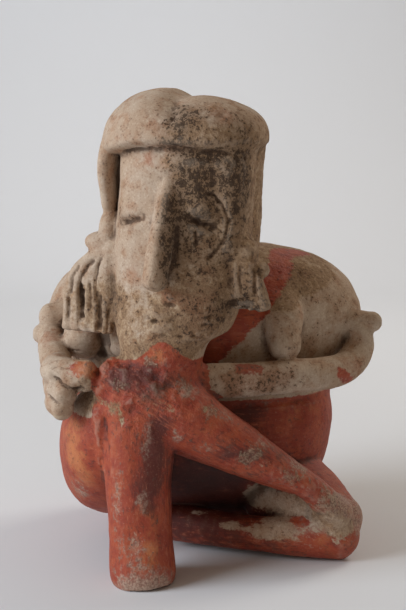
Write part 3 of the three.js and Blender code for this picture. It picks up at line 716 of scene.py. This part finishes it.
# Where the slip has gone or was never laid: centre and radii in mm, and how much is lost.
slipLosses = [
    ((-28.6, -74, 21), (4, 6, 8), 0.7),
    ((-24, -74, 3), (16, 12, 5), 0.35),
    ((-45, -60, 80), (6, 8, 3), 0.8),
    ((-38, -66, 77), (3, 6, 4), 0.8),
    ((-34, -69, 73), (2, 6, 4), 0.8),
    ((-33, -68, 80), (4, 6, 3), 0.45),
    ((-18, -70, 80), (6, 6, 3), 0.55),
    ((-13, -70, 77), (4, 6, 3), 0.45),
    ((0.8, -65.5, 77), (3, 5, 2.5), 0.8),
    ((20, -62, 58), (4, 5, 2.5), 0.55),
    ((27, -60, 52), (5, 5, 2.5), 0.6),
    ((33, -57, 48), (4, 5, 2.5), 0.5),
    ((45, -53, 39), (3, 6, 2.5), 0.5),
    ((52, -50, 33), (4, 6, 4), 0.5),
    ((24, -21, 26), (7, 12, 7), 1.0),
    ((39, -28, 24), (13, 14, 8), 1.2),
    ((56, -40, 23), (11, 14, 7), 1.2),
    ((44, -36, 19), (4, 8, 1.6), -0.9),
    ((62, -44, 16), (8, 12, 5), 0.7),
    ((31, -38, 14), (13, 8, 4.5), 1.2),
    ((12, -32, 15), (6, 8, 2.5), 0.8),
    ((-2, -25, 19), (12, 6, 1.2), 0.6),
    ((50, -40, 9), (14, 8, 3), 0.4),
    ((-45, 20, 40), (30, 16, 9), 0.35),
    ((10, 62, 50), (40, 10, 16), 0.4),
    ((64, 10, 30), (10, 30, 14), 0.4),
]
# Where dust and lime have dulled the slip to grey brown.
slipDust = [
    ((-24, -76, 3), (18, 14, 7), 1.0),
    ((-36, -70, 40), (4, 8, 22), 0.55),
    ((-27, -74, 18), (8, 8, 8), 0.5),
    ((-54, -42, 36), (6, 14, 12), 0.6),
    ((-5, -66, 85), (7, 6, 5), 0.8),
    ((8, -60, 72), (7, 6, 5), 0.6),
    ((24, -57, 60), (12, 6, 4), 0.7),
    ((42, -50, 48), (12, 8, 5), 0.8),
    ((60, -42, 30), (9, 12, 8), 1.0),
    ((71, -33, 20), (7, 14, 12), 0.9),
    ((-11, -68, 66), (3, 5, 6), 0.7),
    ((2, -64, 60), (8, 6, 4), 0.5),
    ((-22, -71, 72), (3, 6, 8), 0.4),
    ((-24, -72, 58), (3, 6, 12), 0.5),
    ((-26, -72, 38), (4, 6, 6), 0.6),
    ((30, -24, 70), (22, 8, 3), 0.4),
    ((48, -40, 16), (14, 10, 5), 0.5),
    ((-22, -64, 98), (10, 6, 6), 0.4),
    ((-52, -60, 78), (6, 8, 6), 0.7),
]
# Where the slip is rubbed thin, so that it shows orange.
slipThin = [
    ((-56, -48, 60), (6, 14, 14), 1.0),
    ((-52, -52, 40), (5, 14, 14), 0.6),
    ((-36, -66, 45), (3, 8, 26), 0.6),
    ((-24, -73, 36), (6, 8, 8), 0.5),
    ((-22, -73, 18), (5, 8, 8), 0.9),
    ((-18, -64, 100), (6, 6, 6), 0.8),
    ((-50, -64, 93), (8, 8, 6), 0.9),
    ((44, -18, 66), (20, 14, 6), 0.6),
    ((56, -36, 12), (10, 10, 5), 0.8),
    ((0, -66, 68), (5, 6, 3), 0.6),
    ((-60, 10, 45), (12, 30, 14), 0.7),
    ((20, 60, 35), (40, 12, 12), 0.6),
]
# Where fire and ground have darkened the slip to purple and brown, with painted shade deep in the hollow behind the
# hem, in the lap and low under the folded shin.
slipDarkAndShade = [
    ((-20, -71, 60), (4, 8, 12), 0.9),
    ((-22, -71, 42), (4, 8, 14), 0.8),
    ((-14, -60, 50), (6, 8, 34), 0.9),
    ((-28, -72, 62), (10, 8, 10), 0.4),
    ((-28.5, -73, 42), (4, 6, 12), 0.7),
    ((11, -64, 61), (10, 6, 5), 0.35),
    ((-36, -66, 88), (8, 8, 6), 0.5),
    ((-30, -64, 93), (14, 8, 5), 0.4),
    ((-26, -66, 92), (16, 8, 8), 0.5),
    ((20, -56, 50), (26, 10, 12), 0.35),
    ((-24, -70, 84), (8, 8, 6), 0.6),
    ((-16, -68, 72), (7, 8, 6), 0.7),
    # these two are painted shade in the hollow behind the hem
    ((8, -30, 44), (26, 14, 16), 1.0),
    ((0, -14, 22), (30, 22, 16), 1.0),
    ((14, -60, 56), (20, 8, 4), 0.6),
    ((44, -50, 33), (14, 8, 4), 0.5),
    # these three are painted shade: the lap, and low down under the folded shin
    ((22, -26, 66), (14, 12, 6), 0.8),
    ((48, -34, 6), (30, 10, 6), 0.5),
    ((10, -18, 10), (40, 16, 12), 0.7),
]
# Where iron has stained the clay rust brown.
rustSpots = [
    ((-22.5, -66, 181), (3.6, 5, 3.2), 1.0),
    ((-14, -72, 186), (12, 7, 3), 0.9),
    ((8, -68, 198), (9, 8, 6), 0.7),
    ((-20, -70, 197), (8, 8, 5), 0.5),
    ((-29, -62, 136), (5, 8, 10), 0.5),
    ((-14, -66, 125), (6, 7, 5), 0.8),
    ((24, -56, 122), (6, 8, 8), 0.8),
    ((0, -67, 117), (12, 8, 10), 0.7),
    ((34, -44, 86), (20, 8, 7), 0.8),
    ((14, -50, 84), (10, 8, 7), 0.7),
    ((0, -68, 140), (12, 8, 14), 0.5),
    ((5, -66, 176), (12, 10, 8), 0.5),
    ((28, -52, 134), (7, 8, 6), 0.6),
    ((34, -50, 150), (5, 8, 10), 0.6),
    ((-70, -20, 100), (8, 16, 10), 0.6),
    ((66, -18, 84), (8, 12, 8), 0.7),
    ((-26, -66, 108), (12, 8, 5), 0.5),
]
# Where brown-black manganese has bloomed on the bare clay; on the nose's shaded flank and her shaded left cheek the
# spots are painted shade, in part or whole.
bloomsAndShade = [
    ((8, -68, 176), (12, 12, 10), 1.0),
    ((-6, -70, 178), (7, 10, 9), 0.7),
    ((16, -64, 168), (6, 9, 14), 0.75),
    ((-9, -71, 197), (7, 9, 9), 1.0),
    ((0, -68, 198), (10, 8, 7), 0.3),
    ((-16, -72, 187), (10, 6, 3), 0.6),
    ((14, -64, 192), (9, 12, 8), 0.6),
    ((2, -66, 178), (11, 10, 7), 0.35),
    ((-2, -70, 162), (12, 8, 10), 0.55),
    # partly painted shade: broad stain on her shaded left cheek, temple and jaw
    ((12, -60, 158), (14, 14, 26), 0.25),
    ((12, -56, 124), (14, 12, 12), 0.25),
    # these two are painted shade on the nose's shaded flank and the cheek beside it
    ((-12.5, -74, 150), (4.2, 9, 20), 1.1),
    ((-4, -71, 150), (6, 8, 14), 0.5),
    ((38, -42, 85), (18, 8, 8), 0.4),
    ((14, -50, 83), (12, 8, 7), 0.2),
    ((-2, -67, 116), (12, 8, 8), 0.3),
    ((-22, -69, 82), (8, 8, 6), 0.4),
    ((2, -68, 140), (12, 8, 14), 0.4),
    ((10, -64, 146), (5, 8, 8), 0.3),
    # painted shade on the nose's shaded flank
    ((-16, -76, 145), (3.5, 6, 14), 0.7),
    ((-34, -56, 156), (10, 9, 4), 0.5),
    ((20, -60, 120), (9, 8, 5), 1.0),
    ((25, -58, 132), (7, 8, 9), 0.5),
    ((12, -46, 84), (36, 10, 8), 0.4),
    ((6, -64, 116), (12, 8, 8), 0.4),
    ((-48, -52, 116), (11, 10, 9), 0.75),
    ((-34, -50, 122), (7, 9, 8), 0.5),
    ((-52, -60, 81), (5, 7, 7), 0.7),
    ((-20, -64, 112), (14, 8, 10), 0.25),
    ((60, -10, 112), (12, 20, 12), 0.3),
    ((44, -24, 98), (12, 14, 6), 0.4),
    ((20, 60, 110), (36, 12, 20), 0.45),
    ((-40, 50, 100), (24, 20, 16), 0.4),
    ((-20, -10, 190), (20, 14, 18), 0.4),
    ((6, -10, 206), (16, 16, 6), 0.4),
]
# Painted shade in the deep recesses: the hollow behind the hem and above the folded leg, and the recess by her
# right upper arm.
paintedRecessShade = [
    ((-2, -22, 34), (30, 14, 12), 1.8),
    ((14, -16, 20), (20, 10, 8), 1.0),
    ((-45, -20, 97), (9, 12, 8), 1.4),
]


def spotted(points, spots):
    # the sum of the spots' bell curves, each times its share
    return sum(share * bell(points, centre, radii) for centre, radii, share in spots)


# Where the slip ends, in mm. Each pair is where a part starts to fade and where it is gone or full.
slipEnds = {
    "waist": 71.5,  # the edge's height round the body
    "knee": 96.5,  # and over the raised knee
    "chin": {"rise": 9, "place": -17, "width": 8},  # how much higher it runs under the chin
    "softness": 1.2,  # half the edge's width
    "fromRidge": (13, 17),
    "kneeRight": (-50, -46),
    "kneeLeft": (0, 6),
    "kneeFront": (42, 47),
    "handSide": (-49, -45),
    "handLevel": (70, 73),
    "handFront": (30, 36),
}


def slipAt(points):
    # brushed over the skirt, the legs and the knee, with bands above; 1 is fully covered, 0 is bare. The edge is
    # level at the waist and goes up in a bell curve under the chin, wherever the knee or the hem's ridge carries it
    x, y, z = points.T
    ends, chin = slipEnds, slipEnds["chin"]
    onRidge = 1 - smoothStep(lineDistance(points, hemRidge), *ends["fromRidge"])
    onKnee = (smoothStep(x, *ends["kneeRight"]) * (1 - smoothStep(x, *ends["kneeLeft"]))
              * smoothStep(-y, *ends["kneeFront"]))
    chinEdge = ends["knee"] + chin["rise"] * np.exp(-((x - chin["place"]) / chin["width"]) ** 2)
    edge = ends["waist"] + (chinEdge - ends["waist"]) * np.maximum(onRidge, onKnee)
    cover = smoothStep(edge - z, -ends["softness"], ends["softness"])
    hand = ((1 - smoothStep(x, *ends["handSide"])) * smoothStep(z, *ends["handLevel"])
            * smoothStep(-y, *ends["handFront"]))
    cover *= 1 - hand
    for path, width, share in slipBands.values():
        away = lineDistance(points, path)
        cover = np.maximum(cover, share * (1 - smoothStep(away, 0.35 * width, 1.6 * width)))
    return cover - spotted(points, slipLosses)


coatPlaces = {
    "bloomMost": 0.92,  # so that clay shows through the thickest bloom
    "post": {"x": -27, "sides": (17, 20), "front": (50, 56)},  # the raised shin
    "ridge": (15, 20),  # mm from the hem's ridge
    "waist": {"height": 72.5, "width": 1.6, "fromRidge": (20, 24)},
}


def paintCoats(mesh):
    # one number on every point for each coat, about 0 where there is none and 1 where it is full, kept as
    # attributes of the mesh
    points = readPoints(mesh) * 1000 + figure["drawnMiddle"]
    fromRidge = lineDistance(points, hemRidge)
    post, waist = coatPlaces["post"], coatPlaces["waist"]
    onPost = 1 - smoothStep(np.abs(points[:, 0] - post["x"]), *post["sides"])
    atWaist = np.exp(-((points[:, 2] - waist["height"]) / waist["width"]) ** 2)
    coats = {
        "slip": slipAt(points),
        "thin": spotted(points, slipThin),
        "dark": spotted(points, slipDarkAndShade),
        "bloom": np.minimum(spotted(points, bloomsAndShade), coatPlaces["bloomMost"]),
        "dust": spotted(points, slipDust),
        "rust": spotted(points, rustSpots),
        "post": onPost * smoothStep(-points[:, 1], *post["front"]),
        "ridge": 1 - smoothStep(fromRidge, *coatPlaces["ridge"]),
        "crust": crusted(points),
        "rough": pitting(figureToHead(points), points),
        "crevice": crevices.at(points),
        # painted shade: larger where the surface lies in a broad hollow, and in the listed recesses
        "hollow": hollows.at(points) + spotted(points, paintedRecessShade),
        "waist": atWaist * smoothStep(fromRidge, *waist["fromRidge"]),
    }
    for name, values in coats.items():
        mesh.attributes.new(name, "FLOAT", "POINT").data.foreach_set("value", values.astype(np.float32))
    return list(coats)


coatNames = paintCoats(mesh)
print("coats laid:", len(coatNames))


def linear(hexColour):
    # sRGB hex to the linear values that the shader works in
    value = np.array([int(hexColour[i:i + 2], 16) for i in (1, 3, 5)]) / 255
    return (*np.where(value <= 0.04045, value / 12.92, ((value + 0.055) / 1.055) ** 2.4), 1.0)


def add(tree, kind, inputs=None, **settings):
    # one node, its settings, and its inputs as plain values or as another node's output
    node = tree.nodes.new(kind)
    for name, value in settings.items():
        setattr(node, name, value)
    for socket, value in (inputs or {}).items():
        if isinstance(value, bpy.types.NodeSocket):
            tree.links.new(value, node.inputs[socket])
        else:
            node.inputs[socket].default_value = value
    return node


# Textures of the clay: pitch in mm, layers of detail, how rough each further layer is, how many times longer than
# wide the grain is, and how far it leans from upright in the front view, in degrees.
grains = {
    "cloud": (22.0, 3, 0.55, 1, 0),
    "patch": (7.0, 5, 0.6, 1, 0),
    "fleck": (2.4, 5, 0.65, 1, 0),
    "grit": (0.9, 3, 0.6, 1, 0),
    "upright": (1.5, 4, 0.7, 3.5, 0),
    "slanting": (1.4, 4, 0.7, 5, 125),
    "level": (1.6, 4, 0.7, 5, 93),
}
# Coats in the order in which they lie. Each is held by one signal and wavers with others by the given weights. It
# thickens from nothing to its strength between two levels. Its colour is one, or two that a further signal mixes,
# and a signal named last lets it through.
bareClay = "#b4a08d"
bareCoats = {
    "brown clouds": ("cloud", {}, (0.35, 0.65), 1, "#ab927b"),
    "orange patches": ("patch", {}, (0.45, 0.7), 0.7, "#a27a5c"),
    "yellowish lime": ("rough", {"patch": 1.4, "fleck": 0.9}, (0.4, 0.95), 0.5, "#ad8c60"),
    "soil": ("rough", {"patch": 1.2, "fleck": 2.6}, (0.5, 1.1), 0.5, "#7a5b40"),
    "iron rust": ("rust", {"patch": 1.0, "fleck": 1.0}, (0.25, 0.95), 0.6, "#9a5f42"),
    "earth in specks": ("speck", {}, (0.54, 0.68), 0.45, "#7a5c46"),
    "darkest specks": ("speck", {}, (0.68, 0.84), 0.75, "#473226"),
    "pale grains": ("speck", {}, (0.42, 0.32), 0.4, "#cdbca8"),
}
redSlip = "#94371f"
slipCoats = {
    "orange patches": ("patch", {}, (0.35, 0.65), 1, "#a64a29"),
    "rubbed thin": ("thin", {"patch": 1.4, "brushed": 1.4}, (0.3, 1.0), 0.7, "#c07a48"),
    # the dark spots also hold painted shade in the hollow behind the hem
    "darkened": ("dark", {"cloud": 0.8, "patch": 1.1, "brushed": 1.2}, (0.3, 0.9), 0.85, "#4e1a14"),
    "thick strokes": ("brushed", {}, (0.52, 0.7), 0.7, "#5c2217"),
    "thin strokes": ("brushed", {}, (0.45, 0.28), 0.35, "#c07a5a"),
    "dark flecks": ("fleck", {}, (0.55, 0.68), 0.5, "#4f2219"),
    "bared grit": ("grit", {}, (0.6, 0.74), 0.25, "#c69a80"),
}
groundCoats = {
    "grey-brown dust": ("dust", {"fleck": 1.6, "patch": 0.8, "brushed": 0.6}, (0.3, 0.9), 0.85,
                        ("#86695a", "#b19785", "grainy")),
    "mineral crust": ("crust", {"patch": 1.2, "fleck": 2.4}, (0.6, 0.95), 0.55, ("#64503f", "#aa957c", "grainy")),
    # the stain and the bloom also carry painted shade on the nose's shaded flank and her left cheek
    "manganese stain and painted shade": ("bloom", {"cloud": 0.6, "patch": 0.8, "fleck": 0.5}, (0.05, 0.8), 0.65, "#72573f"),
    "manganese bloom": ("bloom", {"patch": 1.2, "fleck": 3.4, "grit": 2.6}, (0.74, 1.02), 0.88,
                        ("#261912", "#4c3929", "grainy")),
    "bare line at the waist": ("waist", {}, (0.4, 0.9), 0.7, "#c6b196", "patchy"),
    # partly painted shade: the cuts darken with their depth, as earth and as shade
    "earth and painted shade in the cuts": ("crevice", {"fleck": 0.25}, (0.03, 0.3), 0.6, ("#4f3929", "#35130d", "cover")),
    # painted shade: the broad hollows and the deep recesses darken to near black
    "painted shade in the hollows": ("hollow", {}, (0.2, 1.5), 0.75, ("#3c281b", "#240804", "cover")),
    "rubbed edges": ("crevice", {"fleck": 0.2}, (-0.06, -0.25), 0.2, "#bfae9b"),
}
finish = {
    "grainLevels": (0.4, 0.6),  # where grit and patches turn from one colour to the other
    "speckRough": 0.1,  # how much thicker specks lie on the rough places
    "specks": {"patch": 0.5, "fleck": 0.5, "cloud": 0.2},
    "strokes": {"upright": "post", "slanting": "ridge"},  # the way of the brush; elsewhere it ran level
    "slipEdge": ({"patch": 0.8, "fleck": 0.9, "brushed": 0.9}, (0.24, 0.52)),
    "roughness": (0.9, 0.62),  # bare clay and burnished slip
    "bumpStrength": (0.25, 0.7),  # the smoothest and the roughest places
    "bumps": {"grit": 0.5, "mineral crust": 0.8, "manganese bloom": 0.35},  # heights, where a fleck's is 1
    "bumpHeight": 0.0012,  # metres
}


def wavering(tree, signals, held, weights):
    # the held signal plus each other one, taken about its middle, times its weight
    value = signals[held]
    for name, weight in weights.items():
        scaled = add(tree, "ShaderNodeMath", {0: signals[name], 1: weight, 2: -0.5 * weight},
                     operation="MULTIPLY_ADD").outputs[0]
        value = add(tree, "ShaderNodeMath", {0: value, 1: scaled}, operation="ADD").outputs[0]
    return value


def shareOf(tree, signals, held, weights, levels, ends=(0.0, 1.0)):
    # how thickly something lies: from the first end to the second as the wavering signal goes from the first level
    # to the second, slow at both
    low, high = levels
    return add(tree, "ShaderNodeMapRange", {
        0: wavering(tree, signals, held, weights), 1: low, 2: high, 3: ends[0], 4: ends[1],
    }, interpolation_type="SMOOTHSTEP").outputs[0]


def layCoats(tree, signals, colour, coats):
    # each coat in turn hides its share of the colour below it: colour + share * (coat - colour)
    for name, (held, weights, levels, strength, tint, *through) in coats.items():
        share = shareOf(tree, signals, held, weights, levels, (0.0, strength))
        for other in through:
            share = add(tree, "ShaderNodeMath", {0: share, 1: signals[other]}, operation="MULTIPLY").outputs[0]
        signals[name] = share
        if isinstance(tint, tuple):
            first, second, by = tint
            tint = add(tree, "ShaderNodeMix", {"Factor": signals[by], 6: linear(first), 7: linear(second)},
                       data_type="RGBA").outputs[2]
        else:
            tint = linear(tint)
        colour = add(tree, "ShaderNodeMix", {"Factor": share, 6: colour, 7: tint}, data_type="RGBA").outputs[2]
    return colour


def clayMaterial():
    # fired terracotta: matt, gritty and pale, with worn red slip brushed along the limbs, mineral crust and dark
    # blooms, and painted shade in the cuts, the hollows and on the nose's shaded flank; bare clay scatters light
    # evenly, and the burnished slip keeps a faint sheen
    material = bpy.data.materials.new("fired terracotta with worn red slip")
    material.use_nodes = True
    tree = material.node_tree
    shader = tree.nodes["Principled BSDF"]
    place = add(tree, "ShaderNodeTexCoord").outputs["Object"]
    signals = {}
    for name, (pitch, layers, roughness, length, lean) in grains.items():
        turned = add(tree, "ShaderNodeMapping", {
            "Vector": place, "Rotation": (0, math.radians(lean), 0), "Scale": (1, 1, length),
        }, vector_type="TEXTURE").outputs[0]
        signals[name] = add(tree, "ShaderNodeTexNoise", {
            "Vector": turned, "Scale": 1000 / pitch, "Detail": layers, "Roughness": roughness,
        }).outputs["Fac"]
    for name in coatNames:
        signals[name] = add(tree, "ShaderNodeAttribute", attribute_name=name).outputs["Fac"]
    for name, grain in (("grainy", "grit"), ("patchy", "patch")):
        signals[name] = shareOf(tree, signals, grain, {}, finish["grainLevels"])
    signals["speckled"] = add(tree, "ShaderNodeMath", {
        0: signals["rough"], 1: finish["speckRough"], 2: signals["grit"],
    }, operation="MULTIPLY_ADD").outputs[0]
    signals["speck"] = wavering(tree, signals, "speckled", finish["specks"])
    signals["brushed"] = signals["level"]
    for grain, where in finish["strokes"].items():
        signals["brushed"] = add(tree, "ShaderNodeMix", {
            "Factor": signals[where], 6: signals["brushed"], 7: signals[grain],
        }, data_type="RGBA").outputs[2]
    signals["cover"] = shareOf(tree, signals, "slip", *finish["slipEdge"])

    bare = layCoats(tree, signals, linear(bareClay), bareCoats)
    slip = layCoats(tree, signals, linear(redSlip), slipCoats)
    colour = add(tree, "ShaderNodeMix", {"Factor": signals["cover"], 6: bare, 7: slip},
                 data_type="RGBA").outputs[2]
    tree.links.new(layCoats(tree, signals, colour, groundCoats), shader.inputs["Base Color"])

    tree.links.new(shareOf(tree, signals, "cover", {}, (0, 1), finish["roughness"]), shader.inputs["Roughness"])
    height = signals["fleck"]
    for name, weight in finish["bumps"].items():
        height = add(tree, "ShaderNodeMath", {0: signals[name], 1: weight, 2: height},
                     operation="MULTIPLY_ADD").outputs[0]
    strength = shareOf(tree, signals, "rough", {}, (0, 1), finish["bumpStrength"])
    bump = add(tree, "ShaderNodeBump", {"Height": height, "Strength": strength, "Distance": finish["bumpHeight"]})
    tree.links.new(bump.outputs[0], shader.inputs["Normal"])
    return material


mesh.materials.clear()
mesh.materials.append(clayMaterial())

studio = {
    "wall": "#e0e3e8",
    "wallRoughness": 0.95,
    # the backdrop in metres: its half width, where its floor starts in front and ends behind, the bend's radius,
    # and the height of the wall
    "sweep": {"reach": 1.6, "front": -1.2, "level": 0.82, "bend": 0.35, "height": 1.4},
    "bendSteps": 24,
    "sky": ((1.0, 0.83, 0.64), 0.27),  # a low warm room light
    "lights": {
        # a large window at her right, nearly level with her side
        "window": {"place": (-1.02, -0.46, 0.6), "aim": (0, 0, 0.11), "size": 0.8, "watts": 13.0,
                   "tint": (0.94, 1.0, 1.07), "spread": 180},
        # a weak lamp that edges her left side
        "edge": {"place": (0.6, 0.45, 0.75), "aim": (0.1, 0.2, 0.05), "size": 0.5, "watts": 3.0,
                 "tint": (1.0, 0.93, 0.84), "spread": 180},
        # a lamp over the backdrop, turned away from her
        "wall": {"place": (-0.1, 0.74, 1.0), "aim": (-0.1, 1.0, 0.0), "size": 0.3, "watts": 0.6,
                 "tint": (1.0, 1.0, 1.0), "spread": 100},
    },
}


def buildStudio():
    # a floor that curves up into a wall behind: a profile carried sideways, with a quarter circle for its bend
    reach, front, level, bend, height = studio["sweep"].values()
    angle = np.linspace(0, math.pi / 2, studio["bendSteps"])
    curve = np.stack([level + bend * np.sin(angle), bend * (1 - np.cos(angle))], -1)
    profile = np.concatenate([[[front, 0.0]], curve, [[level + bend, height]]])
    across = np.array([-reach, reach])
    points = np.array([[x, y, z] for y, z in profile for x in across])
    rows = np.arange(len(profile) - 1)
    quads = np.stack([2 * rows, 2 * rows + 1, 2 * rows + 3, 2 * rows + 2], -1)
    mesh = bpy.data.meshes.new("studioSweep")
    mesh.from_pydata(points.tolist(), [], quads.tolist())
    mesh.shade_smooth()
    sweep = bpy.data.objects.new("studioSweep", mesh)
    bpy.context.scene.collection.objects.link(sweep)
    paper = bpy.data.materials.new("matte backdrop paper")
    paper.use_nodes = True
    shader = paper.node_tree.nodes["Principled BSDF"]
    shader.inputs["Base Color"].default_value = linear(studio["wall"])
    shader.inputs["Roughness"].default_value = studio["wallRoughness"]
    mesh.materials.append(paper)

    world = bpy.data.worlds.new("studio")
    world.use_nodes = True
    tint, strength = studio["sky"]
    world.node_tree.nodes["Background"].inputs["Color"].default_value = (*tint, 1)
    world.node_tree.nodes["Background"].inputs["Strength"].default_value = strength
    bpy.context.scene.world = world

    for name, lamp in studio["lights"].items():
        light = bpy.data.lights.new(name, "AREA")
        light.shape = "DISK"
        light.size = lamp["size"]
        light.energy = lamp["watts"]
        light.color = lamp["tint"]
        light.spread = math.radians(lamp["spread"])
        holder = bpy.data.objects.new(name, light)
        holder.location = lamp["place"]
        aim = Vector(lamp["aim"]) - Vector(lamp["place"])
        holder.rotation_euler = aim.to_track_quat("-Z", "Y").to_euler()
        bpy.context.scene.collection.objects.link(holder)


buildStudio()

# Where the figure is seen from: a place in mm in the drawing, the angle down in degrees, and the lens in mm.
view = {"place": (0.0, -600.0, 200.0), "pitch": 8.4, "lens": 76.72, "near": 0.01}
camera = bpy.data.objects.new("camera", bpy.data.cameras.new("camera"))
camera.data.lens = view["lens"]
camera.data.clip_start = view["near"]
camera.location = (np.array(view["place"]) - figure["drawnMiddle"]) / 1000
camera.rotation_euler = (math.radians(90 - view["pitch"]), 0, 0)
bpy.context.scene.collection.objects.link(camera)
bpy.context.scene.camera = camera
bpy.context.scene.view_settings.view_transform = "Standard"
